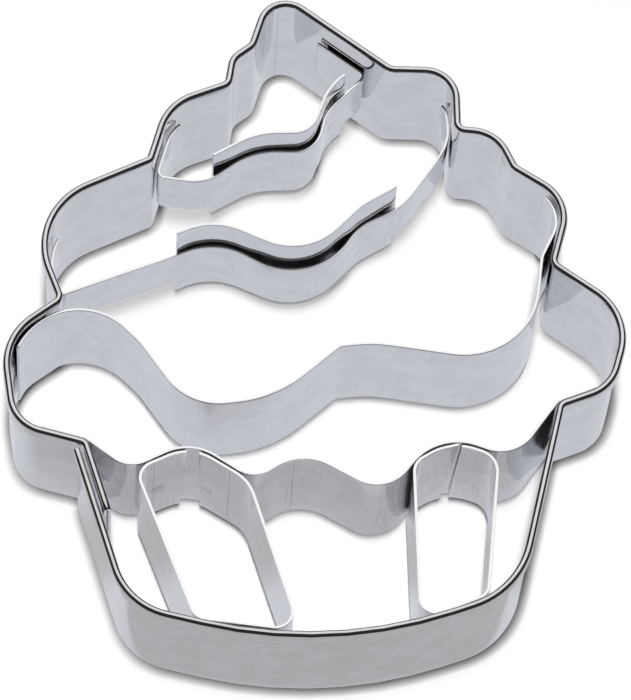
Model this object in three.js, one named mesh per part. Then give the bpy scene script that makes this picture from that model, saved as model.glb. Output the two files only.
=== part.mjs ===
import * as THREE from 'three';

// An embossing cookie cutter in the outline of a cupcake, bent from nine strips of sheet metal.
// Millimetres, +Z up. It stands on its cutting edge at z = 0 with the folded rim uppermost, and the
// origin is the middle of its footprint. +Y points to the tip of the frosting, +X to the right.

// The figure is drawn on a grid of square cells around the origin, and its length sets the size of a cell.
const figureLength = 72;
const rowCount = 72;
const cell = figureLength / rowCount;

// Sheet and heights
const sheet = 0.3;
const bandHeight = 18;
const hemDrop = 2;
const hemSlack = 0.25;
const printRecess = 2;
const printHeight = 15;
const ribbonBridgeRecess = 5.4;
const ribbonBridgeHeight = 7.1;
const ribbonPrintRecess = 1.8;
const ribbonPrintHeight = 15.6;
const swirlBridgeRecess = 6.3;
const swirlBridgeHeight = 7.6;
const swirlPrintRecess = 2.5;
const swirlPrintHeight = 15.4;

// Fits between strips, and where they end
const weldGap = 0.2;
const lapGap = 0.25;
const lapLength = 7.5;
const foldRadius = 0.7;
const swirlTabLength = 5.6;
const swirlFoldReach = 2.8;
const swirlTuckReach = 3.2;
const ribbonPrintLead = 1.3;
const ribbonPrintTail = 2.8;
const waveStandOff = 0.9;

// Where strips begin, fold and end on the rounds that they follow, in degrees from +X
const waveStart = 160;
const waveStop = 46;
const scallopStop = -55;
const ribbonStart = 156;
const ribbonFold = 206;
const ribbonStop = 38;
const swirlStart = 134;
const swirlPrintStart = -61;
const swirlPrintStop = 122;
const leftMouthStart = 92;
const leftMouthStop = 76;
const rightMouthStart = 90;
const rightMouthStop = 87;

// Fineness of the bends
const bendStep = THREE.MathUtils.degToRad(15);
const chordError = 0.03;
const rimSteps = 6;
const shortestRun = 0.1;

// Sizes that follow from the sheet
const hemWidth = 2 * sheet + hemSlack;
const tabOffset = weldGap + sheet / 2;
const stackOffset = weldGap + sheet;
const lapOffset = lapGap + hemWidth;

// A round is a centre and a radius, and one that is drawn is given in cells. The band passes lobes on their
// outside and notches on their inside, and the radius of either is to the band's inner face.
const round = (x, y, radius) => ({ x, y, radius });
const drawn = (x, y, radius) => round(x * cell, y * cell, radius * cell);
const lobe = (x, y, radius) => ({ ...drawn(x, y, radius), side: -1 });
const notch = (x, y, radius) => ({ ...drawn(x, y, radius), side: 1 });

// The cup of the cupcake
const cupFloor = lobe(-1.5, 10.4, 46);
const cupLeft = lobe(-13.5, -26.9, 7);
const cupRight = lobe(13.5, -23.6, 8.9);

// The frosting, from its lower right round the tip to its lower left
const rightArmpit = notch(26.7, -10.3, 1.3);
const rightBulgeLow = lobe(27.4, -4.2, 4.1);
const rightBulgeHigh = lobe(26, -2, 6);
const rightNotchLow = notch(26.2, 6.8, 1.4);
const rightLobeLow = lobe(21.6, 11.6, 4.2);
const rightNotchMid = notch(21.7, 18.1, 1.4);
const rightLobeMid = lobe(16.3, 17.4, 3.75);
const rightNotchHigh = notch(15.7, 22.5, 1.3);
const rightLobeHigh = lobe(11.3, 25.1, 3);
const slopeNotch = notch(8.1, 30.2, 2.1);
const tip = lobe(-3.7, 33.1, 2.4);
const tipNotch = notch(-8.4, 31.7, 1.7);
const tipBump = lobe(-7.5, 28.2, 1.6);
const leftNotchHigh = notch(-10.7, 27, 1.4);
const leftLobeHigh = lobe(-11.4, 19.5, 5.3);
const leftNotchMid = notch(-18.4, 17.6, 0.95);
const leftLobeLow = lobe(-21.2, 7.1, 7.3);
const leftNotchLow = notch(-28.1, 1.2, 1.3);
const leftBulgeHigh = lobe(-26, -6.5, 6.1);
const leftBulgeLow = lobe(-27.7, -9.9, 3.9);
const leftArmpit = notch(-24.7, -16, 1.3);

// The bends of the strips inside the band, to the middle of the sheet
const waveLeftCrest = drawn(-24.9, -6.8, 6.8);
const waveLeftFall = drawn(-27.4, -11.3, 11.8);
const waveLeftValley = drawn(-10.3, -3.7, 6.5);
const waveMidRise = drawn(-10, 3, 13.1);
const waveMidCrease = drawn(3.1, -4.5, 1.2);
const waveMidCrest = drawn(6.2, -16, 13);
const waveRightValley = drawn(15.5, 4.1, 8.1);

const scallopLeftDip = drawn(-19.1, -14.2, 3.1);
const scallopLeftCrest = drawn(-13.2, -20.6, 5.3);
const scallopMidLeftDip = drawn(-6.3, -15, 3.1);
const scallopMidCrest = drawn(-0.9, -21.7, 5.5);
const scallopMidRightDip = drawn(6.5, -15, 3.9);
const scallopRightCrest = drawn(15.2, -19.9, 6);
const scallopRightDip = drawn(19.5, -10.8, 4);

const ribbonCrest = drawn(-10.9, 2.4, 7.1);
const ribbonValley = drawn(-2.8, 14.5, 7.4);
const ribbonShoulder = drawn(8.7, 7.8, 5.9);
const ribbonRise = drawn(3.6, 20.9, 8.1);
const ribbonArm = drawn(7.9, 23.9, 6.2);
const ribbonPrintCrest = drawn(-10.9, 2.9, 7.3);
const ribbonPrintValley = drawn(-2.8, 14.4, 6.7);

const swirlDip = drawn(-13.4, 21.5, 5);
const swirlCrest = drawn(-4.2, 12.3, 7.9);
const swirlValley = drawn(-2.75, 23.4, 3.2);
const swirlShoulder = drawn(5.75, 22.5, 5.3);

const leftPleatTopLeft = drawn(-16.3, -18.9, 1.8);
const leftPleatFootLeft = drawn(-10.9, -32.6, 1.7);
const leftPleatFootRight = drawn(-3.8, -32.9, 1.8);
const leftPleatTopRight = drawn(-10.5, -21.9, 4.4);

const rightPleatTopLeft = drawn(12.5, -17.5, 1.9);
const rightPleatFootLeft = drawn(12.9, -31.3, 1.7);
const rightPleatFootRight = drawn(16.9, -29.8, 1.5);
const rightPleatTopRight = drawn(16.8, -17.3, 2.4);

// The same place at a distance to the inner side of the band's inner face
function within(place, distance) {
  return { ...place, radius: place.radius + place.side * distance };
}

// The same place at a distance under a crest
function under(crest, distance) {
  return { ...crest, radius: crest.radius - distance };
}

// A bend is a round with the way that a strip turns on it: left is counter-clockwise from above.
const left = (place, at) => ({ x: place.x, y: place.y, signed: place.radius, at });
const right = (place, at) => ({ x: place.x, y: place.y, signed: -place.radius, at });
const end = (point) => ({ x: point.x, y: point.y, signed: 0 });

// The same bends for a strip that lies to the left of another
function shiftLeft(bends, distance) {
  return bends.map((bend) => ({ ...bend, signed: bend.signed - distance }));
}

// The straight run between two bends: it touches both rounds.
function run(a, b) {
  const between = new THREE.Vector2(b.x - a.x, b.y - a.y);
  const lean = THREE.MathUtils.clamp((b.signed - a.signed) / between.length(), -1, 1);
  const heading = between.angle() - Math.asin(lean);
  const along = new THREE.Vector2(Math.cos(heading), Math.sin(heading));
  const across = new THREE.Vector2(-along.y, along.x);
  const start = new THREE.Vector2(a.x, a.y).addScaledVector(across, -a.signed);
  const stop = new THREE.Vector2(b.x, b.y).addScaledVector(across, -b.signed);
  return { heading, along, across, start, stop };
}

// Points on the run between two bends, measured from its start or back from its stop
function pastStart(a, b, distance) {
  const { start, along } = run(a, b);
  return start.clone().addScaledVector(along, distance);
}

function beforeStop(a, b, distance) {
  const { stop, along } = run(a, b);
  return stop.clone().addScaledVector(along, -distance);
}

// A tight fold that leaves the inner side of a lobe at an angle
function foldOnLobe(around, angle) {
  const reach = around.radius - foldRadius;
  const turn = THREE.MathUtils.degToRad(angle);
  return round(around.x + reach * Math.cos(turn), around.y + reach * Math.sin(turn), foldRadius);
}

// A tight fold that lies on the left of a run
function foldOnRun(a, b, distance) {
  const centre = pastStart(a, b, distance).addScaledVector(run(a, b).across, foldRadius);
  return round(centre.x, centre.y, foldRadius);
}

// The line of a strip through its bends. A first or last bend with an angle begins or ends there.
function routeOf(bends) {
  const route = new THREE.Path();
  const last = bends.length - 1;
  bends.forEach((bend, index) => {
    const quarter = Math.sign(bend.signed) * Math.PI / 2;
    const given = bend.at === undefined ? undefined : THREE.MathUtils.degToRad(bend.at);
    const arrive = index === 0 ? given : run(bends[index - 1], bend).heading - quarter;
    const leave = index === last ? given : run(bend, bends[index + 1]).heading - quarter;
    const from = arrive ?? leave;
    const to = leave ?? arrive;
    const radius = Math.abs(bend.signed);
    const startX = bend.x + radius * Math.cos(from);
    const startY = bend.y + radius * Math.sin(from);
    if (index === 0) route.moveTo(startX, startY);
    else route.lineTo(startX, startY);
    if (radius > 0 && from !== to) route.absarc(bend.x, bend.y, radius, from, to, bend.signed < 0);
  });
  return route;
}

// How many straight facets stand for a round: no turn and no bow between two stations is too large.
function stepsOf(arc) {
  const turn = arc.getLength() / arc.xRadius;
  const flattest = 2 * Math.acos(Math.max(0, 1 - chordError / arc.xRadius));
  return Math.ceil(turn / Math.min(bendStep, flattest));
}

// Stations along a route: a point and the direction to its left
function stationsOf(route) {
  const stations = [];
  for (const curve of route.curves.filter((piece) => piece.getLength() > shortestRun)) {
    const steps = curve.isEllipseCurve ? stepsOf(curve) : 1;
    const first = stations.length === 0 ? 0 : 1;
    for (let step = first; step <= steps; step += 1) {
      const point = curve.getPoint(step / steps);
      const along = curve.getTangent(step / steps);
      stations.push({ point, across: new THREE.Vector2(-along.y, along.x) });
    }
  }
  return stations;
}

// A closed solid: the profile, drawn as distance to the left and height, carried along the route.
function sweep(route, profile) {
  const stations = stationsOf(route);
  const size = profile.length;
  const positions = [];
  for (const { point, across } of stations) {
    for (const corner of profile) {
      positions.push(point.x + across.x * corner.x, point.y + across.y * corner.x, corner.y);
    }
  }
  const faces = [];
  for (let ring = 0; ring + 1 < stations.length; ring += 1) {
    for (let corner = 0; corner < size; corner += 1) {
      const a = ring * size + corner;
      const b = ring * size + (corner + 1) % size;
      faces.push(a, b, b + size, a, b + size, a + size);
    }
  }
  const lastRing = (stations.length - 1) * size;
  for (const [a, b, c] of THREE.ShapeUtils.triangulateShape(profile, [])) {
    faces.push(a, c, b, lastRing + a, lastRing + b, lastRing + c);
  }
  const geometry = new THREE.BufferGeometry();
  geometry.setAttribute('position', new THREE.Float32BufferAttribute(positions, 3));
  geometry.setIndex(faces);
  geometry.computeVertexNormals();
  return geometry;
}

// The band's section: a wall whose top is folded outwards and down, with a round crown
function hemProfile() {
  const crown = hemWidth / 2;
  const shoulder = bandHeight - crown;
  const profile = [new THREE.Vector2(-sheet, 0), new THREE.Vector2(0, 0)];
  for (let step = 0; step <= rimSteps; step += 1) {
    const turn = Math.PI * step / rimSteps;
    profile.push(new THREE.Vector2(-crown + crown * Math.cos(turn), shoulder + crown * Math.sin(turn)));
  }
  const lip = sheet + hemSlack;
  profile.push(new THREE.Vector2(-hemWidth, bandHeight - hemDrop));
  profile.push(new THREE.Vector2(-lip, bandHeight - hemDrop));
  profile.push(new THREE.Vector2(-lip, shoulder));
  profile.push(new THREE.Vector2(-sheet, shoulder));
  return profile;
}

// A plain strip's section
function stripProfile(recess, height) {
  const half = sheet / 2;
  return [
    new THREE.Vector2(-half, recess),
    new THREE.Vector2(half, recess),
    new THREE.Vector2(half, recess + height),
    new THREE.Vector2(-half, recess + height),
  ];
}

const printProfile = stripProfile(printRecess, printHeight);
const ribbonBridgeProfile = stripProfile(ribbonBridgeRecess, ribbonBridgeHeight);
const ribbonPrintProfile = stripProfile(ribbonPrintRecess, ribbonPrintHeight);
const swirlBridgeProfile = stripProfile(swirlBridgeRecess, swirlBridgeHeight);
const swirlPrintProfile = stripProfile(swirlPrintRecess, swirlPrintHeight);

// The outline: it starts outside the lap, runs round the cup and the frosting, and ends inside the lap.
function bandRoute() {
  const lapStart = right(within(leftArmpit, -lapOffset));
  const lapTurn = right(leftArmpit);
  const lapEnd = pastStart(lapTurn, left(within(cupLeft, lapOffset)), lapLength);
  return routeOf([
    lapStart,
    left(cupLeft),
    left(cupFloor),
    left(cupRight),
    right(rightArmpit),
    left(rightBulgeLow),
    left(rightBulgeHigh),
    right(rightNotchLow),
    left(rightLobeLow),
    right(rightNotchMid),
    left(rightLobeMid),
    right(rightNotchHigh),
    left(rightLobeHigh),
    right(slopeNotch),
    left(tip),
    right(tipNotch),
    left(tipBump),
    right(leftNotchHigh),
    left(leftLobeHigh),
    right(leftNotchMid),
    left(leftLobeLow),
    right(leftNotchLow),
    left(leftBulgeHigh),
    left(leftBulgeLow),
    lapTurn,
    end(lapEnd),
  ]);
}

// The lowest fold of the frosting: one deep wave from the left bulge to the lowest lobe on the right
function waveRoute() {
  return routeOf([
    right(within(leftBulgeHigh, tabOffset), waveStart),
    right(waveLeftCrest),
    right(waveLeftFall),
    left(waveLeftValley),
    left(waveMidRise),
    right(waveMidCrease),
    right(waveMidCrest),
    left(waveRightValley),
    right(within(rightNotchLow, waveStandOff)),
    left(within(rightLobeLow, tabOffset), waveStop),
  ]);
}

// The cup's rim: a low zigzag between the two bulges
function scallopRoute() {
  return routeOf([
    left(within(leftBulgeLow, tabOffset)),
    right(within(leftArmpit, tabOffset)),
    left(scallopLeftDip),
    right(scallopLeftCrest),
    left(scallopMidLeftDip),
    right(scallopMidCrest),
    left(scallopMidRightDip),
    right(scallopRightCrest),
    left(scallopRightDip),
    right(within(rightArmpit, tabOffset)),
    left(within(rightBulgeLow, tabOffset), scallopStop),
  ]);
}

// The middle fold: a bridge across the frosting, with a shorter printing strip on its far side
const ribbonLobe = within(leftLobeLow, tabOffset);
const ribbonBends = [
  left(foldOnLobe(ribbonLobe, ribbonFold)),
  right(ribbonCrest),
  left(ribbonValley),
  right(ribbonShoulder),
  left(ribbonRise),
];

function ribbonBridgeRoute() {
  return routeOf([
    left(ribbonLobe, ribbonStart),
    ...ribbonBends,
    left(ribbonArm),
    left(within(rightLobeHigh, tabOffset), ribbonStop),
  ]);
}

function ribbonPrintRoute() {
  const [fold, , , shoulder, rise] = shiftLeft(ribbonBends, stackOffset);
  const crest = right(ribbonPrintCrest);
  return routeOf([
    end(beforeStop(fold, crest, ribbonPrintLead)),
    crest,
    left(ribbonPrintValley),
    shoulder,
    end(pastStart(shoulder, rise, ribbonPrintTail)),
  ]);
}

// The top fold: a bridge under the tip, folded back on the straight slope, and its printing strip
const swirlLobe = within(leftLobeHigh, tabOffset);
const swirlNotch = within(leftNotchMid, tabOffset);
const slopeStart = right(within(slopeNotch, tabOffset));
const slopeStop = left(within(tip, tabOffset));
const swirlBends = [
  left(swirlDip),
  right(swirlCrest),
  left(swirlValley),
  right(swirlShoulder),
  left(foldOnRun(slopeStart, slopeStop, swirlFoldReach)),
];

function swirlBridgeRoute() {
  const fold = swirlBends[swirlBends.length - 1];
  return routeOf([
    left(swirlLobe, swirlStart),
    left(foldOnRun(left(swirlLobe), right(swirlNotch), swirlTuckReach)),
    ...swirlBends,
    end(pastStart(fold, slopeStop, swirlTabLength)),
  ]);
}

function swirlPrintRoute() {
  const [start, crest, valley, shoulder] = shiftLeft(swirlBends, stackOffset);
  return routeOf([
    { ...start, at: swirlPrintStart },
    crest,
    valley,
    { ...shoulder, at: swirlPrintStop },
  ]);
}

// The pleats: closed loops between the scalloped rim and the cup's floor, with their mouths at the top
function leftPleatRoute() {
  const crest = under(scallopLeftCrest, stackOffset);
  return routeOf([
    left(crest, leftMouthStart),
    left(leftPleatTopLeft),
    left(leftPleatFootLeft),
    left(leftPleatFootRight),
    left(leftPleatTopRight),
    left(crest, leftMouthStop),
  ]);
}

function rightPleatRoute() {
  const crest = under(scallopRightCrest, stackOffset);
  return routeOf([
    left(crest, rightMouthStart),
    left(rightPleatTopLeft),
    left(rightPleatFootLeft),
    left(rightPleatFootRight),
    left(rightPleatTopRight),
    left(crest, rightMouthStop),
  ]);
}

// Satin tinned steel, a little brighter on the strips than on the band
const bandColor = 0xb4b6ba;
const stripColor = 0xbec0c8;
const satin = 0.35;
const metallic = 0.9;

function metal(color) {
  return new THREE.MeshStandardMaterial({ color, roughness: satin, metalness: metallic });
}

function strip(name, route, profile, color) {
  const mesh = new THREE.Mesh(sweep(route, profile), metal(color));
  mesh.name = name;
  return mesh;
}

const cutter = new THREE.Group();
cutter.add(
  strip('outline_band', bandRoute(), hemProfile(), bandColor),
  strip('frosting_wave', waveRoute(), printProfile, stripColor),
  strip('cup_scallop', scallopRoute(), printProfile, stripColor),
  strip('ribbon_bridge', ribbonBridgeRoute(), ribbonBridgeProfile, stripColor),
  strip('ribbon_print', ribbonPrintRoute(), ribbonPrintProfile, stripColor),
  strip('swirl_bridge', swirlBridgeRoute(), swirlBridgeProfile, stripColor),
  strip('swirl_print', swirlPrintRoute(), swirlPrintProfile, stripColor),
  strip('left_pleat', leftPleatRoute(), printProfile, stripColor),
  strip('right_pleat', rightPleatRoute(), printProfile, stripColor),
);

// Centre the footprint on the origin
const footprint = new THREE.Box3().setFromObject(cutter).getCenter(new THREE.Vector3());
cutter.position.set(-footprint.x, -footprint.y, 0);

export default cutter;
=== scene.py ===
# %% [markdown]
# # An embossing cookie cutter, bent from strips of tinned sheet
# The cutter is a tall band in the outline of a cupcake, with eight thinner strips inside it that print the
# folds of the frosting and the pleats of the cup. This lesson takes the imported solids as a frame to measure
# against, and bends each strip again in a finer mesh: straight runs are extruded and bends are spun, as on
# a bench with pegs.

# %% Load the frame
import math
from collections import namedtuple

import bpy
from mathutils import Euler, Matrix, Vector


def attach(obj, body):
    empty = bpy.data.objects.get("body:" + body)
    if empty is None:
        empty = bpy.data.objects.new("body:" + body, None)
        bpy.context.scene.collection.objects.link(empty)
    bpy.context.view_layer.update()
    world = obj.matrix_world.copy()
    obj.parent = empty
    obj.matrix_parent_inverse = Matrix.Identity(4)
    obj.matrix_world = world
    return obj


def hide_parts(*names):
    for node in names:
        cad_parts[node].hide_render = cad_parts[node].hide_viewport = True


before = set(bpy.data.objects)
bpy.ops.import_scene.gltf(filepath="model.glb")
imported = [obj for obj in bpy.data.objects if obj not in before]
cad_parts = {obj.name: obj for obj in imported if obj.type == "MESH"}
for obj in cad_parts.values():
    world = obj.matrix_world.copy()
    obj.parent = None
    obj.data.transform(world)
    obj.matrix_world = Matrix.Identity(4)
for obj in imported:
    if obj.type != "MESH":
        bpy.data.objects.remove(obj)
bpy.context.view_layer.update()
bpy.context.scene.view_settings.view_transform = "Standard"
print("frame nodes:", sorted(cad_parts))

# %% [markdown]
# ## The camera
# The cutter is seen steeply from above, a little from its left, with a long lens and a slight roll. The
# camera is turned in three steps: tilted from straight down, swung round the vertical, and rolled about its
# own axis.

# %% Camera
MM = 0.001
elevation = math.radians(68)
swing = math.radians(-4.2)
roll = math.radians(5.35)
aim = Vector((0.01, -4.29, 18)) * MM
camera_distance = 660.5 * MM
focal_length_mm = 322.4

turn = (
    Matrix.Rotation(swing, 4, "Z")
    @ Matrix.Rotation(math.pi / 2 - elevation, 4, "X")
    @ Matrix.Rotation(roll, 4, "Z")
)
backwards = turn.to_3x3() @ Vector((0, 0, 1))
bpy.ops.object.select_all(action="DESELECT")
bpy.ops.object.camera_add(location=aim + backwards * camera_distance, rotation=turn.to_euler())
camera = bpy.context.object
camera.data.lens = focal_length_mm
bpy.context.scene.camera = camera
print("camera at", tuple(round(value, 4) for value in camera.location))

# %% [markdown]
# ## Shader sums
# Materials here are sums of masks and noises. A small class wraps a node's output so that a sum is written
# as one, and its first method makes any node from its type, its settings and what goes into its sockets.


# %% A socket that does sums
class Signal:
    def __init__(self, tree, socket=None):
        self.tree = tree
        self.socket = socket

    def node(self, kind, settings=None, sockets=None, output=0):
        made = self.tree.nodes.new(kind)
        for key, value in (settings or {}).items():
            setattr(made, key, value)
        for key, value in (sockets or {}).items():
            if isinstance(value, Signal):
                self.tree.links.new(value.socket, made.inputs[key])
            else:
                made.inputs[key].default_value = value
        return Signal(self.tree, made.outputs[output] if made.outputs else None)

    def math(self, operation, first, second):
        return self.node("ShaderNodeMath", {"operation": operation}, {0: first, 1: second})

    def __add__(self, other):
        return self.math("ADD", self, other)

    def __radd__(self, other):
        return self.math("ADD", other, self)

    def __sub__(self, other):
        return self.math("SUBTRACT", self, other)

    def __rsub__(self, other):
        return self.math("SUBTRACT", other, self)

    def __mul__(self, other):
        return self.math("MULTIPLY", self, other)


print("a signal adds, subtracts and multiplies, and makes nodes")

# %% [markdown]
# ## Masks and blends
# A mask rises smoothly from 0 to 1 while a value crosses a band, and a blend goes from one colour to
# another by a mask. Distances from a place make round masks. The Mix node has sockets for every kind of
# value, so the ones that take colours are picked by number.

# %% Masks and blends
mix_share, mix_first, mix_second, mix_result = 0, 6, 7, 2


def smooth_step(signal, value, low, high):
    return signal.node(
        "ShaderNodeMapRange",
        {"interpolation_type": "SMOOTHSTEP"},
        {"Value": value, "From Min": low, "From Max": high},
    )


def blend_colours(signal, share, first, second):
    sockets = {mix_share: share, mix_first: first, mix_second: second}
    return signal.node("ShaderNodeMix", {"data_type": "RGBA"}, sockets, mix_result)


def distance(signal, first, second):
    return signal.node("ShaderNodeVectorMath", {"operation": "DISTANCE"}, {0: first, 1: second}, "Value")


def grey(value):
    return (value, value, value, 1)


print("a white is", grey(1))

# %% [markdown]
# ## The table as the eye sees it
# The cutter stands on a white table, a plain square plane. Its matt white carries a painted contact shade in
# a narrow line beside the strips, where a thin edge standing on paper would shade it. Ambient Occlusion
# paints that line into the colour, and a leaned normal moves it to the side that is turned away from the
# light.

# %% Table
floor_side = 3.0
floor_white = 0.92
contact_reach = 0.00115
contact_samples = 16
contact_lean = (-0.36, 0.68, 0.62)
contact_depth = 1.2

bpy.ops.object.select_all(action="DESELECT")
bpy.ops.mesh.primitive_plane_add(size=floor_side)
floor = bpy.context.object
floor.name = "table"
table_finish = bpy.data.materials.new("table_white")
table_finish.use_nodes = True
table_finish.node_tree.nodes.clear()
table = Signal(table_finish.node_tree)
lean = table.node("ShaderNodeCombineXYZ", sockets=dict(enumerate(contact_lean)))
open_sky = table.node(
    "ShaderNodeAmbientOcclusion",
    {"samples": contact_samples},
    {"Distance": contact_reach, "Normal": lean},
    "AO",
)
shade = (1 - open_sky) * contact_depth
shaded_white = blend_colours(table, shade, grey(floor_white), grey(0))
seen = table.node("ShaderNodeBsdfDiffuse", sockets={"Color": shaded_white})
floor.data.materials.append(table_finish)
print("table side", floor_side, "m, contact shade within", contact_reach / MM, "mm")

# %% [markdown]
# ## The table as the metal mirrors it
# Bright sheet shows little but its surroundings, so the tone of the walls is the tone of the table in them.
# For mirrored rays the table is a plain glow that paints light and shade by place: greyer in front of the
# cutter, which gives the outer walls their tone, brighter behind and inside the cup, and dark from some way
# off. Is Glossy Ray picks between the two tables.

# %% Mirrored table
mirror_near = (0.52, 0.525, 0.535, 1)
mirror_far = (0.69, 0.705, 0.745, 1)
mirror_dark = (0.03, 0.03, 0.032, 1)
near_until, far_from = -0.02, -0.012
cup_from, cup_until = -0.027, -0.022
cup_centre, cup_edge = (-0.0015, 0.0104, 0), (0.0458, 0.0466)
table_reach = (0.046, 0.05, 1)
table_edge = (2.2, 4.5)

place = table.node("ShaderNodeTexCoord", output="Object")
depth = table.node("ShaderNodeSeparateXYZ", sockets={0: place}, output="Y")
# Painted light: the glow is brighter behind the cutter and inside the cup, greyer in front, and dark far off.
behind = smooth_step(table, depth, near_until, far_from)
within_cup = 1 - smooth_step(table, distance(table, place, cup_centre), *cup_edge)
in_cup = (1 - smooth_step(table, depth, cup_from, cup_until)) * within_cup
bright_share = table.math("MAXIMUM", behind, in_cup)
near_tone = blend_colours(table, bright_share, mirror_near, mirror_far)
spread = table.node("ShaderNodeVectorMath", {"operation": "DIVIDE"}, {0: place, 1: table_reach})
spread = table.node("ShaderNodeVectorMath", {"operation": "LENGTH"}, {0: spread}, "Value")
mirror_tone = blend_colours(table, smooth_step(table, spread, *table_edge), near_tone, mirror_dark)
mirrored = table.node("ShaderNodeEmission", sockets={"Color": mirror_tone})
by_mirror = table.node("ShaderNodeLightPath", output="Is Glossy Ray")
either = table.node("ShaderNodeMixShader", sockets={0: by_mirror, 1: seen, 2: mirrored})
table.node("ShaderNodeOutputMaterial", sockets={"Surface": either})
print("table material has", len(table_finish.node_tree.nodes), "nodes")

# %% [markdown]
# ## Lamps
# A wide, soft lamp hangs behind and above the cutter. Only the metal shows it, as the bright stripe along
# the round rim. A long, narrow lamp almost straight above lights the table and lays the soft shadows beside
# the strips, and the metal doesn't mirror it.

# %% Lamps
lamp_distance = 0.6
lamp_width = 0.94
lamp_elevation = math.radians(50)
lamp_radiance = 0.9
slit_distance = 2.0
slit_tilt = Euler((math.radians(8.5), math.radians(-0.8), 0))
slit_half_width, slit_half_length = math.radians(2.2), math.radians(13)
slit_light = 1.1 * math.pi

toward_lamp = Vector((0, math.cos(lamp_elevation), math.sin(lamp_elevation)))
bpy.ops.object.select_all(action="DESELECT")
bpy.ops.object.light_add(type="AREA", location=toward_lamp * lamp_distance)
lamp = bpy.context.object
lamp.rotation_euler = toward_lamp.to_track_quat("Z", "Y").to_euler()
lamp.data.shape = "DISK"
lamp.data.size = lamp_width
lamp.data.energy = lamp_radiance * math.pi * math.pi * (lamp_width / 2) ** 2
lamp.visible_diffuse = False

toward_slit = slit_tilt.to_matrix() @ Vector((0, 0, 1))
bpy.ops.object.select_all(action="DESELECT")
bpy.ops.object.light_add(type="AREA", location=toward_slit * slit_distance, rotation=slit_tilt)
slit = bpy.context.object
slit.data.shape = "ELLIPSE"
slit.data.size = 2 * slit_distance * math.tan(slit_half_width)
slit.data.size_y = 2 * slit_distance * math.tan(slit_half_length)
slit.data.energy = slit_light * math.pi * slit_distance ** 2
slit.visible_glossy = False
print("lamp power", round(lamp.data.energy, 2), "slit power", round(slit.data.energy, 2))

# %% [markdown]
# ## The room
# Round the table it is dark, and that darkness draws the two dark lines along the rim. Where the camera
# looks past the table's edge it sees white all the same, because Is Camera Ray raises the background to
# full strength.

# %% Room
room_grey = 0.03

world = bpy.data.worlds.new("room")
bpy.context.scene.world = world
world.use_nodes = True
world.node_tree.nodes.clear()
room = Signal(world.node_tree)
by_eye = room.node("ShaderNodeLightPath", output="Is Camera Ray")
room_light = by_eye * (1 - room_grey) + room_grey
backdrop = room.node("ShaderNodeBackground", sockets={"Color": grey(1), "Strength": room_light})
room.node("ShaderNodeOutputWorld", sockets={"Surface": backdrop})
print("room light for mirrored rays", room_grey)

# %% [markdown]
# ## The drawing
# Every strip runs straight from one peg to the next and bends round it. A peg is a round with a centre and
# a radius, in millimetres. The band passes lobes on their outside and notches on their inside, and the
# radius is to the band's inner face. A bend is a peg passed on one side: its radius counts positive where
# the strip turns left and negative where it turns right, and its angle says where a strip starts or stops
# on it.

# %% Sheet, heights and fits in millimetres
sheet = 0.3
band_height = 18
hem_drop = 2
hem_slack = 0.23
hem_width = 2 * sheet + hem_slack
print_foot, print_top = 2, 17
weld_gap = 0.2
tab_offset = weld_gap + sheet / 2
stack_offset = weld_gap + sheet
lap_offset = 1.1
lap_length = 7.5
fold_radius = 0.7
drawing_shift = Vector((0.058, 0.057, 0))

Peg = namedtuple("Peg", "x y radius side", defaults=(0,))
Bend = namedtuple("Bend", "x y signed at", defaults=(None,))


def lobe(x, y, radius):
    return Peg(x, y, radius, -1)


def notch(x, y, radius):
    return Peg(x, y, radius, 1)


def within(peg, distance_in):
    return peg._replace(radius=peg.radius + peg.side * distance_in)


def left(peg, at=None):
    return Bend(peg.x, peg.y, peg.radius, at)


def right(peg, at=None):
    return Bend(peg.x, peg.y, -peg.radius, at)


def end(point):
    return Bend(point.x, point.y, 0)


def spot(x, y, z):
    return (Vector((x, y, z)) + drawing_shift) * MM


print("folded rim", round(hem_width, 2), "mm wide, tabs", round(tab_offset, 2), "mm from the wall")

# %% [markdown]
# ## Pegs of the outline
# The outline goes round anticlockwise from the floor of the cup. The cup's floor is a shallow arc. The
# frosting is a row of lobes with a tight notch between each two, and one long straight slope beside the
# tip.

# %% Pegs of the outline
cup_floor = lobe(-1.5, 10.4, 46)
cup_left = lobe(-13.5, -26.9, 7)
cup_right = lobe(13.5, -23.6, 8.9)
right_armpit = notch(26.7, -10.3, 1.3)
right_bulge_low = lobe(27.4, -4.2, 4.1)
right_bulge_high = lobe(26, -2, 6)
right_notch_low = notch(26.2, 6.8, 1.4)
right_lobe_low = lobe(21.6, 11.6, 4.2)
right_notch_mid = notch(21.7, 18.1, 1.4)
right_lobe_mid = lobe(16.3, 17.4, 3.75)
right_notch_high = notch(15.7, 22.5, 1.3)
right_lobe_high = lobe(11.3, 25.1, 3)
slope_notch = notch(8.1, 30.2, 2.1)
tip = lobe(-3.7, 33.1, 2.4)
tip_notch = notch(-8.4, 31.7, 1.7)
tip_bump = lobe(-7.5, 28.2, 1.6)
left_notch_high = notch(-10.7, 27, 1.4)
left_lobe_high = lobe(-11.4, 19.5, 5.3)
left_notch_mid = notch(-18.4, 17.6, 0.95)
left_lobe_low = lobe(-21.2, 7.1, 7.3)
left_notch_low = notch(-28.1, 1.2, 1.3)
left_bulge_high = lobe(-26, -6.5, 6.1)
left_bulge_low = lobe(-27.7, -9.9, 3.9)
left_armpit = notch(-24.7, -16, 1.3)
print("from the tip to the cup's floor", round(tip.y + tip.radius - cup_floor.y + cup_floor.radius, 1), "mm")

# %% [markdown]
# ## From pegs to moves
# Between two pegs the strip is straight and touches both. The lean of that straight run comes from the
# difference of the two radii, with their signs. Tabs, folds and short printing strips start or stop some
# way along such a run.

# %% Straight runs between bends
Run = namedtuple("Run", "start stop along across")


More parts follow.
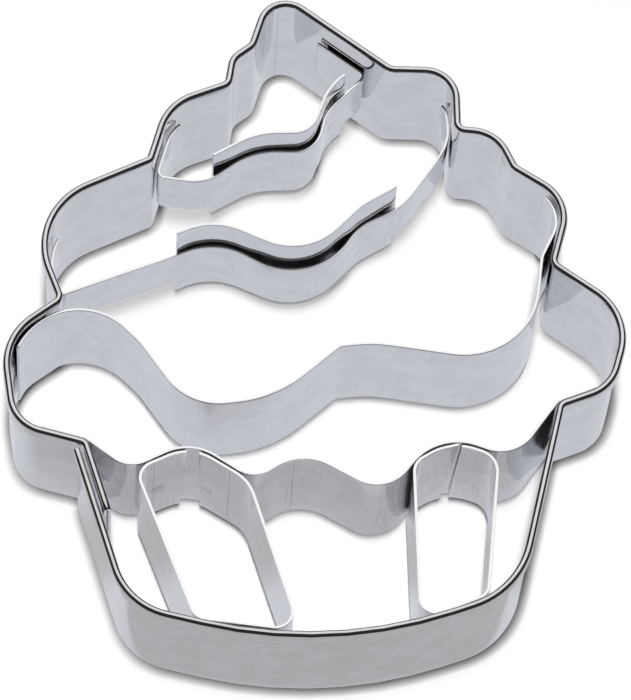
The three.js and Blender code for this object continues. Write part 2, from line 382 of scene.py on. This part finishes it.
def run(a, b):
    between = Vector((b.x - a.x, b.y - a.y))
    lean_sine = max(-1, min(1, (b.signed - a.signed) / between.length))
    heading = math.atan2(between.y, between.x) - math.asin(lean_sine)
    along = Vector((math.cos(heading), math.sin(heading)))
    across = Vector((-along.y, along.x))
    start = Vector((a.x, a.y)) - across * a.signed
    stop = Vector((b.x, b.y)) - across * b.signed
    return Run(start, stop, along, across)


def past_start(a, b, way):
    straight = run(a, b)
    return straight.start + straight.along * way


def before_stop(a, b, way, offset):
    straight = run(a, b)
    return straight.stop - straight.along * way + straight.across * offset


def fold_on_lobe(peg, degrees):
    reach = peg.radius - fold_radius
    angle = math.radians(degrees)
    return Peg(peg.x + reach * math.cos(angle), peg.y + reach * math.sin(angle), fold_radius)


def fold_on_run(a, b, way):
    centre = past_start(a, b, way) + run(a, b).across * fold_radius
    return Peg(centre.x, centre.y, fold_radius)


slope = run(right(slope_notch), left(tip))
print("the slope beside the tip is", round((slope.stop - slope.start).length, 1), "mm long")

# %% [markdown]
# ## Arcs round the bends
# The strip arrives at a bend and leaves it at the angles where its runs touch the peg, and the turn between
# them goes the way that the bend turns. The first and the last bend of a strip have one run only, so their
# own angle is used.


# %% Arcs round the bends
def touch_angle(a, b, bend):
    along = run(a, b).along
    return math.atan2(along.y, along.x) - math.copysign(math.pi / 2, bend.signed)


def arc_of(bends, index):
    bend = bends[index]
    arrive = leave = None if bend.at is None else math.radians(bend.at)
    if index > 0:
        arrive = touch_angle(bends[index - 1], bend, bend)
    if index + 1 < len(bends):
        leave = touch_angle(bend, bends[index + 1], bend)
    arrive = leave if arrive is None else arrive
    leave = arrive if leave is None else leave
    if bend.signed >= 0:
        return arrive, (leave - arrive) % math.tau
    return arrive, -((arrive - leave) % math.tau)


def start_of(bends):
    first = bends[0]
    angle = arc_of(bends, 0)[0]
    heading = angle + math.copysign(math.pi / 2, first.signed)
    x = first.x + abs(first.signed) * math.cos(angle)
    y = first.y + abs(first.signed) * math.sin(angle)
    return x, y, heading


floor_turn = arc_of([left(cup_left), left(cup_floor), left(cup_right)], 1)[1]
print("the cup's floor turns by", round(math.degrees(floor_turn), 1), "degrees")

# %% [markdown]
# ## Bending a strip
# A strip starts as one standing edge, the cut end of the sheet. The edge is extruded along each straight
# run in short steps and spun round each peg, and what it leaves behind is the middle of the sheet. A narrow
# row of faces along the foot and the top keeps the shading of the wide faces true beside the eased edges.

# %% Standing edge and moves
step_length = 1.2
step_angle = math.radians(5)
edge_row = 0.35
least_turn = 1e-6
least_run = 1e-4


def draw_up(*rises):
    for rise in rises:
        bpy.ops.mesh.extrude_vertices_move(TRANSFORM_OT_translate={"value": (0, 0, rise * MM)})


def stand_edge(name, x, y, foot, top):
    bpy.ops.object.select_all(action="DESELECT")
    bpy.ops.mesh.primitive_plane_add(size=sheet * MM)
    piece = bpy.context.object
    piece.name = name
    bpy.ops.object.mode_set(mode="EDIT")
    bpy.ops.mesh.merge(type="CENTER")
    bpy.ops.transform.translate(value=spot(x, y, foot))
    draw_up(edge_row, top - foot - 2 * edge_row, edge_row)
    return piece


def spin_round(bend, turned):
    bpy.ops.mesh.spin(
        steps=max(1, math.ceil(abs(turned) / step_angle)),
        angle=-turned,
        center=spot(bend.x, bend.y, 0),
        axis=(0, 0, 1),
    )


def draw_along(straight):
    way = straight.stop - straight.start
    steps = max(1, math.ceil(way.length / step_length))
    move = way.to_3d() * MM / steps
    for step in range(steps if way.length > least_run else 0):
        bpy.ops.mesh.extrude_region_move(TRANSFORM_OT_translate={"value": move})


def follow(bends):
    bpy.ops.mesh.select_all(action="SELECT")
    for index, bend in enumerate(bends):
        turned = arc_of(bends, index)[1]
        if abs(turned) > least_turn and bend.signed:
            spin_round(bend, turned)
        if index + 1 < len(bends):
            draw_along(run(bend, bends[index + 1]))


print("bends step by", round(math.degrees(step_angle)), "degrees, runs by", step_length, "mm")

# %% [markdown]
# ## Thickness and slanted ends
# Solidify gives the sheet its thickness to both sides of the middle, and Bevel takes the sharpness off its
# cut edges, as the rolls of a slitting machine leave them. Some strips are cut on a slant: one corner of
# the end is drawn out along the strip, and the triangle is filled.

# %% Thickness, slanted ends and the whole strip
edge_round = 0.05
edge_segments = 2
touch = 0.01
merge_within = 1e-7
bevel_above = math.radians(50)
smooth_below = math.radians(35)


def finish_sheet(piece):
    bpy.ops.mesh.select_all(action="SELECT")
    bpy.ops.mesh.remove_doubles(threshold=merge_within)
    bpy.ops.mesh.normals_make_consistent(inside=False)
    bpy.ops.object.mode_set(mode="OBJECT")
    thick = piece.modifiers.new("sheet", "SOLIDIFY")
    thick.thickness = sheet * MM
    thick.offset = 0
    thick.use_even_offset = True
    worn = piece.modifiers.new("cut edges", "BEVEL")
    worn.width = edge_round * MM
    worn.segments = edge_segments
    worn.limit_method = "ANGLE"
    worn.angle_limit = bevel_above
    for modifier in ("sheet", "cut edges"):
        bpy.ops.object.modifier_apply(modifier=modifier)
    bpy.ops.object.shade_smooth_by_angle(angle=smooth_below)
    print(piece.name, len(piece.data.polygons), "faces")
    return piece


def slant_end(piece, bend, forward, z, reach):
    angle = math.radians(bend.at)
    cut = spot(bend.x + bend.signed * math.cos(angle), bend.y + bend.signed * math.sin(angle), 0).xy
    along = Vector((-math.sin(angle), math.cos(angle), 0)) * forward * reach * MM
    bpy.ops.mesh.select_all(action="DESELECT")
    bpy.ops.object.mode_set(mode="OBJECT")
    for vertex in piece.data.vertices:
        at_cut = (vertex.co.xy - cut).length < touch * MM
        vertex.select = at_cut and abs(vertex.co.z - z * MM) < touch * MM
    bpy.ops.object.mode_set(mode="EDIT")
    bpy.ops.mesh.extrude_vertices_move(TRANSFORM_OT_translate={"value": along})
    bpy.ops.object.mode_set(mode="OBJECT")
    for vertex in piece.data.vertices:
        vertex.select = vertex.select or (vertex.co.xy - cut).length < touch * MM
    bpy.ops.object.mode_set(mode="EDIT")
    bpy.ops.mesh.edge_face_add()


def strip(name, bends, foot, top, slants=()):
    x, y = start_of(bends)[:2]
    piece = stand_edge(name, x, y, foot, top)
    follow(bends)
    for slant in slants:
        slant_end(piece, *slant)
    return finish_sheet(piece)


print("sheet", sheet, "mm, its cut edges eased by", edge_round, "mm")

# %% [markdown]
# ## The outline band
# Its top edge is folded outwards and down, so that the hand presses on a round rim and not on a cut edge.
# The fold is made on the standing edge, before any bending: its top point is spun over half a turn and then
# drawn down. The two ends of the band lap under the left bulge.

# %% Outline band
hem_steps = 12
crown = hem_width / 2
crown_mid = (hem_width - sheet) / 2
crown_clearance = 0.01


def mid_wall(peg):
    return within(peg, -sheet / 2)


def band_bends():
    lap_turn = right(mid_wall(left_armpit))
    lap_side = left(within(mid_wall(cup_left), lap_offset))
    around = [
        left(cup_left), left(cup_floor), left(cup_right), right(right_armpit), left(right_bulge_low),
        left(right_bulge_high), right(right_notch_low), left(right_lobe_low), right(right_notch_mid),
        left(right_lobe_mid), right(right_notch_high), left(right_lobe_high), right(slope_notch), left(tip),
        right(tip_notch), left(tip_bump), right(left_notch_high), left(left_lobe_high), right(left_notch_mid),
        left(left_lobe_low), right(left_notch_low), left(left_bulge_high), left(left_bulge_low),
    ]
    around = [bend._replace(signed=bend.signed + sheet / 2) for bend in around]
    lap_start = right(within(mid_wall(left_armpit), -lap_offset))
    return [lap_start, *around, lap_turn, end(past_start(lap_turn, lap_side, lap_length))]


def outline_band():
    bends = band_bends()
    x, y, heading = start_of(bends)
    shoulder = band_height - crown - crown_clearance
    piece = stand_edge("band_sheet", x, y, 0, shoulder)
    outward = Vector((math.sin(heading), -math.cos(heading)))
    over = spot(x + outward.x * crown_mid, y + outward.y * crown_mid, shoulder)
    bpy.ops.mesh.spin(
        steps=hem_steps, angle=-math.pi, center=over, axis=(math.cos(heading), math.sin(heading), 0)
    )
    drop = band_height - hem_drop - shoulder
    draw_up(-edge_row, drop + 2 * edge_row, -edge_row)
    follow(bends)
    return finish_sheet(piece)


band = outline_band()

# %% [markdown]
# ## The lowest fold of the frosting
# It is one deep wave, as tall as the cup's strips. Like every strip that crosses the figure it ends in tabs
# that lie on the band's wall, where they are spot-welded. The sharp crease in its middle is a bend round a
# thin peg.

# %% Frosting wave
wave_start, wave_stop = 160, 46
wave_stand_off = 0.9
wave_shoulder = Peg(-24.9, -6.8, 6.8)
wave_fall = Peg(-27.4, -11.3, 11.8)
wave_hollow_left = Peg(-10.3, -3.7, 6.5)
wave_hollow_right = Peg(-10, 3, 13.1)
wave_crease = Peg(3.1, -4.5, 1.2)
wave_rise = Peg(6.2, -16, 13)
wave_turn_up = Peg(15.5, 4.1, 8.1)

wave = strip(
    "wave_sheet",
    [
        right(within(left_bulge_high, tab_offset), wave_start),
        right(wave_shoulder),
        right(wave_fall),
        left(wave_hollow_left),
        left(wave_hollow_right),
        right(wave_crease),
        right(wave_rise),
        left(wave_turn_up),
        right(within(right_notch_low, wave_stand_off)),
        left(within(right_lobe_low, tab_offset), wave_stop),
    ],
    print_foot,
    print_top,
)

# %% [markdown]
# ## The ribbon across the frosting
# A low bridge spans the figure, and a shorter, taller strip is welded to its far side and prints the line.
# Where the two are pressed together the gap between them is a dark hairline, and elsewhere it opens, so the
# printing strip has pegs of its own, a little off those of the bridge. At the left the bridge is folded
# back on the wall.

# %% Ribbon
ribbon_start, ribbon_fold, ribbon_stop = 156, 206, 38
ribbon_bridge_foot, ribbon_bridge_top = 5.4, 12.5
ribbon_print_foot, ribbon_print_top = 1.8, 17.4
ribbon_print_lead, ribbon_print_stop = 1.3, -51
close_offset = 0.38
ribbon_lobe = within(left_lobe_low, tab_offset)
ribbon_fold_left = fold_on_lobe(ribbon_lobe, ribbon_fold)
ribbon_crest_left = Peg(-10.9, 2.4, 7.1)
ribbon_hollow = Peg(-2.8, 14.5, 7.4)
ribbon_crest_right = Peg(8.7, 7.8, 5.9)
ribbon_turn_up = Peg(3.6, 20.9, 8.1)
ribbon_turn_in = Peg(7.9, 23.9, 6.2)

ribbon_bridge = strip(
    "ribbon_bridge_sheet",
    [
        left(ribbon_lobe, ribbon_start),
        left(ribbon_fold_left),
        right(ribbon_crest_left),
        left(ribbon_hollow),
        right(ribbon_crest_right),
        left(ribbon_turn_up),
        left(ribbon_turn_in),
        left(within(right_lobe_high, tab_offset), ribbon_stop),
    ],
    ribbon_bridge_foot,
    ribbon_bridge_top,
)

ribbon_print_crest_left = Peg(-10.9, 2.88, 7.14)
ribbon_print_hollow = Peg(-2.8, 14.4, 6.6)
ribbon_print_crest_right = ribbon_crest_right._replace(radius=ribbon_crest_right.radius + close_offset)
ribbon_print_turn_up = Peg(3.6, 20.9, 7.55)
ribbon_print_start = before_stop(
    left(ribbon_fold_left), right(ribbon_crest_left), ribbon_print_lead, close_offset
)
ribbon_print = strip(
    "ribbon_print_sheet",
    [
        end(ribbon_print_start),
        right(ribbon_print_crest_left),
        left(ribbon_print_hollow),
        right(ribbon_print_crest_right),
        left(ribbon_print_turn_up, ribbon_print_stop),
    ],
    ribbon_print_foot,
    ribbon_print_top,
)

# %% [markdown]
# ## The swirl under the tip
# It is a second bridge with its printing strip. The bridge is tucked into a lobe at the left, and at the
# right it is folded sharply and lies on the long slope with a flat tab.

# %% Swirl
swirl_start, swirl_print_start, swirl_print_stop = 134, -61, 128
swirl_tuck_reach, swirl_fold_reach, swirl_tab_length = 3.2, 2.8, 5.6
swirl_bridge_foot, swirl_bridge_top = 6.3, 13.9
swirl_print_foot, swirl_print_top = 2.5, 17.9
swirl_lobe = left(within(left_lobe_high, tab_offset))
swirl_notch = right(within(left_notch_mid, tab_offset))
slope_start = right(within(slope_notch, tab_offset))
slope_stop = left(within(tip, tab_offset))
slope_fold = left(fold_on_run(slope_start, slope_stop, swirl_fold_reach))
swirl_dip = Peg(-13.4, 21.5, 5)
swirl_crest = Peg(-4.2, 12.3, 7.9)
swirl_valley = Peg(-2.75, 23.4, 3.2)
swirl_shoulder = Peg(5.75, 22.5, 5.3)

swirl_bridge = strip(
    "swirl_bridge_sheet",
    [
        swirl_lobe._replace(at=swirl_start),
        left(fold_on_run(swirl_lobe, swirl_notch, swirl_tuck_reach)),
        left(swirl_dip),
        right(swirl_crest),
        left(swirl_valley),
        right(swirl_shoulder),
        slope_fold,
        end(past_start(slope_fold, slope_stop, swirl_tab_length)),
    ],
    swirl_bridge_foot,
    swirl_bridge_top,
)

swirl_print_dip = Peg(-13.5, 21.85, 4.62)
swirl_print_crest = Peg(-4.2, 12.33, 8.33)
swirl_print_valley = Peg(-2.75, 23.4, 2.66)
swirl_print_shoulder = Peg(6.9, 22.25, 6.85)
swirl_print = strip(
    "swirl_print_sheet",
    [
        left(swirl_print_dip, swirl_print_start),
        right(swirl_print_crest),
        left(swirl_print_valley),
        right(swirl_print_shoulder, swirl_print_stop),
    ],
    swirl_print_foot,
    swirl_print_top,
)

# %% [markdown]
# ## The rim of the cup
# A zigzag strip prints the rim, with three crests between four dips. It goes from one armpit of the outline
# to the other, and its tabs lie in the two bulges.

# %% Cup scallop
scallop_stop = -55
dip_left = Peg(-19.1, -14.2, 3.1)
left_crest = Peg(-13.2, -20.6, 5.3)
dip_middle_left = Peg(-6.3, -15, 3.1)
middle_crest = Peg(-0.9, -21.7, 5.5)
dip_middle_right = Peg(6.5, -15, 3.9)
right_crest = Peg(15.2, -19.9, 6)
dip_right = Peg(19.5, -10.8, 4)

scallop = strip(
    "scallop_sheet",
    [
        left(within(left_bulge_low, tab_offset)),
        right(within(left_armpit, tab_offset)),
        left(dip_left),
        right(left_crest),
        left(dip_middle_left),
        right(middle_crest),
        left(dip_middle_right),
        right(right_crest),
        left(dip_right),
        right(within(right_armpit, tab_offset)),
        left(within(right_bulge_low, tab_offset), scallop_stop),
    ],
    print_foot,
    print_top,
)

# %% [markdown]
# ## The pleats
# Two closed loops print the pleats of the cup. Each is bent from one strip whose ends are butted and not
# joined, and the mouth between the ends lies under a crest of the zigzag. The ends are cut on a lean, made
# in two steps: the upright cut is set back by the lean, and one corner is drawn out again.

# %% Left pleat
left_mouth_start, left_mouth_stop = 92, 76
left_lean_start, left_lean_stop = 0.65, 0.37
left_pleat_shoulder = Peg(-16.35, -18.77, 1.8)
left_pleat_foot = Peg(-10.9, -32.6, 1.7)
left_pleat_far_foot = Peg(-3.8, -33.25, 1.8)
left_pleat_far_shoulder = Peg(-10.44, -21.77, 4.4)

crest = left_crest._replace(radius=left_crest.radius - stack_offset)
mouth_start = left(crest, left_mouth_start + math.degrees(left_lean_start / crest.radius))
mouth_stop = left(crest, left_mouth_stop - math.degrees(left_lean_stop / crest.radius))
left_pleat = strip(
    "left_pleat_sheet",
    [
        mouth_start,
        left(left_pleat_shoulder),
        left(left_pleat_foot),
        left(left_pleat_far_foot),
        left(left_pleat_far_shoulder),
        mouth_stop,
    ],
    print_foot,
    print_top,
    [(mouth_start, -1, print_top, left_lean_start), (mouth_stop, 1, print_top, left_lean_stop)],
)

# %% [markdown]
# The right pleat is narrower, and its mouth is a thin slanted slit: one end is drawn out at its top and the
# other at its foot.

# %% Right pleat
right_mouth_start, right_mouth_stop = 90, 87
right_lean_start, right_lean_stop = 1.37, 0.58
right_pleat_shoulder = Peg(12.45, -17.37, 1.9)
right_pleat_foot = Peg(12.9, -31.3, 1.7)
right_pleat_far_foot = Peg(16.9, -29.8, 1.5)
right_pleat_far_shoulder = Peg(16.86, -17.17, 2.4)

crest = right_crest._replace(radius=right_crest.radius - stack_offset)
mouth_start = left(crest, right_mouth_start + math.degrees(right_lean_start / crest.radius))
mouth_stop = left(crest, right_mouth_stop)
right_pleat = strip(
    "right_pleat_sheet",
    [
        mouth_start,
        left(right_pleat_shoulder),
        left(right_pleat_foot),
        left(right_pleat_far_foot),
        left(right_pleat_far_shoulder),
        mouth_stop,
    ],
    print_foot,
    print_top,
    [(mouth_start, -1, print_top, right_lean_start), (mouth_stop, 1, print_foot, right_lean_stop)],
)

# %% [markdown]
# ## Marks in tinned steel
# Tinplate is thin steel with a bright skin of tin. The skin clouds, the rolls leave streaks along the
# strip, and use leaves specks, hairlines and upright scratches. Bends crease it: the crease is pressed in a
# little, and its line is darkened with painted shade. A spot weld burns a grey stain. Each mark here is a
# mask from a noise or from the distance to a place, in millimetres on the object.

# %% Marks
to_mm = (1000, 1000, 1000)
to_plan = (1000, 60, 0)
along_strip = (350, 350, 4500)
up_strip = (7000, 7000, 240)
# Each noise has a scale and a detail, and each band the values between which its mask rises.
cloud_noise, cloud_band = (0.3, 3.0), (0.35, 0.65)
patch_noise, patch_band = (1.3, 4.0), (0.5, 0.72)
grain_noise, streak_band = (1.0, 3.0), (0.55, 0.75)
hair_noise, hair_middle, hair_width, hair_band = (0.45, 2.0), 0.5, 0.006, (0.6, 0.9)
speck_scale, speck_core, speck_radius = 0.5, 0.021, 0.07
crease_core, crease_reach = 0.02, 0.09
weld_core, weld_reach = 0.3, 1.4
weld_noise, weld_band = (1.1, 3.0), (0.42, 0.6)
score_noise, score_band = (1.0, 2.0), (0.56, 0.66)
scored_noise, scored_band = (0.4, 2.0), (0.4, 0.55)
dent_noise = (0.14, 1.0)
weld_spots = [
    (-22.6, -15.4, 13), (-21.8, -15.9, 10), (-16.2, -16.8, 8.9), (-11.4, -17, 7.5),
    (-5, 7.9, 12), (7.5, 14.5, 12), (1.75, 25.1, 9), (0.95, 24.9, 12),
]
Marks = namedtuple("Marks", "cloud patch grain streak hair speck crease weld score dent")


def distance_mask(made, vector, spots, core, reach):
    total = 0
    for centre in spots:
        total = total + (1 - smooth_step(made, distance(made, vector, centre), core, reach))
    return total


def marks_on(made, creases):
    place = made.node("ShaderNodeTexCoord", output="Object")

    def scaled(scale):
        return made.node("ShaderNodeMapping", sockets={"Vector": place, "Scale": scale})

    def noise(vector, scale, detail):
        return made.node("ShaderNodeTexNoise", sockets={"Vector": vector, "Scale": scale, "Detail": detail})

    even = scaled(to_mm)
    cloud = smooth_step(made, noise(even, *cloud_noise), *cloud_band)
    patch = smooth_step(made, noise(even, *patch_noise), *patch_band)
    grain = noise(scaled(along_strip), *grain_noise)
    streak = smooth_step(made, grain, *streak_band)
    contour = made.math("ABSOLUTE", noise(even, *hair_noise) - hair_middle, 0.0)
    hair = (1 - smooth_step(made, contour, 0.0, hair_width)) * smooth_step(made, cloud, *hair_band)
    near_speck = made.node("ShaderNodeTexVoronoi", sockets={"Vector": even, "Scale": speck_scale})
    speck = (1 - smooth_step(made, near_speck, speck_core, speck_radius)) * patch
    crease = distance_mask(made, scaled(to_plan), creases, crease_core, crease_reach)
    stain = smooth_step(made, noise(even, *weld_noise), *weld_band)
    weld = distance_mask(made, even, weld_spots, weld_core, weld_reach) * stain
    used = smooth_step(made, noise(even, *scored_noise), *scored_band)
    score = smooth_step(made, noise(scaled(up_strip), *score_noise), *score_band) * used
    dent = noise(even, *dent_noise)
    return Marks(cloud, patch, grain, streak, hair, speck, crease, weld, score, dent)


print(len(Marks._fields), "kinds of marks,", len(weld_spots), "weld stains")

# %% [markdown]
# ## Tinned steel
# The marks darken the metal's colour, dull its gloss and dent it a little. The colour is pale and slightly
# blue. The strips' cut edges that face up get a painted highlight: a mask on faces that look up makes them
# brighter than the skin.

# %% Tinned steel
streak_wear, patch_wear, speck_wear = 0.06, 0.1, 0.6
# The crease term darkens the creases' colour: painted shade along the bends.
hair_wear, crease_shade_depth, weld_wear = 0.3, 0.5, 0.6
soil_and_shade = 0.55
# How far a face must look up to take the painted highlight.
highlight_band = (0.7, 0.95)
streak_dulls, patch_dulls, weld_dulls = 0.05, 0.06, 0.15
dent_rise, grain_rise = 5.0, 0.02
speck_fall, crease_fall, hair_fall = 0.1, 0.2, 0.05
bump_strength, bump_distance = 0.35, 0.00006
Tin = namedtuple("Tin", "name dull bright smooth rough pure scored creases cut_edge", defaults=(None,))


def tin_colour(made, tin, marks):
    # Streaks, patches, specks, hairlines, weld stains and scratches are real wear; the crease term is painted
    # shade.
    wear_and_crease_shade = marks.streak * streak_wear + marks.patch * patch_wear + marks.speck * speck_wear
    wear_and_crease_shade = wear_and_crease_shade + marks.hair * hair_wear + marks.crease * crease_shade_depth + marks.weld * weld_wear
    wear_and_crease_shade = wear_and_crease_shade + marks.score * tin.scored
    soiled_and_shaded = tuple(value * soil_and_shade for value in tin.dull[:3]) + (1,)
    skin = blend_colours(made, wear_and_crease_shade, blend_colours(made, marks.cloud, tin.dull, tin.bright), soiled_and_shaded)
    if not tin.cut_edge:
        return skin
    # Painted highlight: faces that look up, the strips' top cut edges, are made brighter.
    facing = made.node("ShaderNodeNewGeometry", output="Normal")
    upward = made.node("ShaderNodeSeparateXYZ", sockets={0: facing}, output="Z")
    return blend_colours(made, smooth_step(made, upward, *highlight_band), skin, tin.cut_edge)


def tin_relief(made, marks):
    height = marks.dent * dent_rise + marks.grain * grain_rise
    height = height - marks.speck * speck_fall - marks.crease * crease_fall - marks.hair * hair_fall
    sockets = {"Strength": bump_strength, "Distance": bump_distance, "Height": height}
    return made.node("ShaderNodeBump", sockets=sockets)


def tinned(tin):
    finish = bpy.data.materials.new(tin.name)
    finish.use_nodes = True
    finish.node_tree.nodes.clear()
    made = Signal(finish.node_tree)
    marks = marks_on(made, tin.creases)
    dulled = marks.streak * streak_dulls + marks.patch * patch_dulls + marks.weld * weld_dulls
    gloss = marks.cloud * (tin.rough - tin.smooth) + dulled + tin.smooth
    metal = made.node(
        "ShaderNodeBsdfPrincipled",
        sockets={
            "Base Color": tin_colour(made, tin, marks),
            "Metallic": tin.pure,
            "Roughness": gloss,
            "Normal": tin_relief(made, marks),
        },
    )
    made.node("ShaderNodeOutputMaterial", sockets={"Surface": metal})
    print(tin.name, len(finish.node_tree.nodes), "nodes")
    return finish


# %% [markdown]
# ## Three finishes
# The band is the smoothest. The strips of the frosting are a little paler, and those of the cup are the most
# used, with a thin haze on the metal that lightens it. Creases, with their painted shade, are given by their
# place in plan. Height is left out, so each one runs up the whole strip, and the second measure is coarse, so
# it needn't be exact.

# %% Finishes
band_creases = [(-4.48, 2.12, 0)]
strip_creases = [(-16.66, -1.03, 0), (-8.74, -1.06, 0), (-2.01, -0.98, 0), (-0.1, 1.989, 0)]
strip_dull = (0.72, 0.725, 0.745, 1)
strip_bright = (0.78, 0.785, 0.81, 1)
# Painted highlight colour for the upward cut edges of the strips.
strip_edge_highlight = (0.97, 0.97, 0.975, 1)
band_tin = Tin(
    "band_tin", dull=(0.7, 0.705, 0.715, 1), bright=(0.76, 0.765, 0.78, 1),
    smooth=0.05, rough=0.1, pure=1.0, scored=0.08, creases=band_creases,
)
strip_tin = Tin(
    "strip_tin", dull=strip_dull, bright=strip_bright,
    smooth=0.06, rough=0.12, pure=0.97, scored=0.12, creases=strip_creases, cut_edge=strip_edge_highlight,
)
cup_tin = strip_tin._replace(name="cup_tin", rough=0.14, pure=0.88, scored=0.3)

band_finish = tinned(band_tin)
strip_finish = tinned(strip_tin)
cup_finish = tinned(cup_tin)

# %% [markdown]
# ## Standing for the solids
# Each sheet takes the place of its imported solid, rides on the one rigid body and takes the finish listed
# for it.

# %% Place
stands_for = [
    (band, "outline_band", band_finish, "band_steel"),
    (wave, "frosting_wave", strip_finish, "strip_steel"),
    (scallop, "cup_scallop", cup_finish, "strip_steel"),
    (ribbon_bridge, "ribbon_bridge", strip_finish, "strip_steel"),
    (ribbon_print, "ribbon_print", strip_finish, "strip_steel"),
    (swirl_bridge, "swirl_bridge", strip_finish, "strip_steel"),
    (swirl_print, "swirl_print", strip_finish, "strip_steel"),
    (left_pleat, "left_pleat", cup_finish, "strip_steel"),
    (right_pleat, "right_pleat", cup_finish, "strip_steel"),
]
for piece, node, finish, slot in stands_for:
    piece.data.materials.clear()
    piece.data.materials.append(finish)
    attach(piece, "root")
    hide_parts(node)
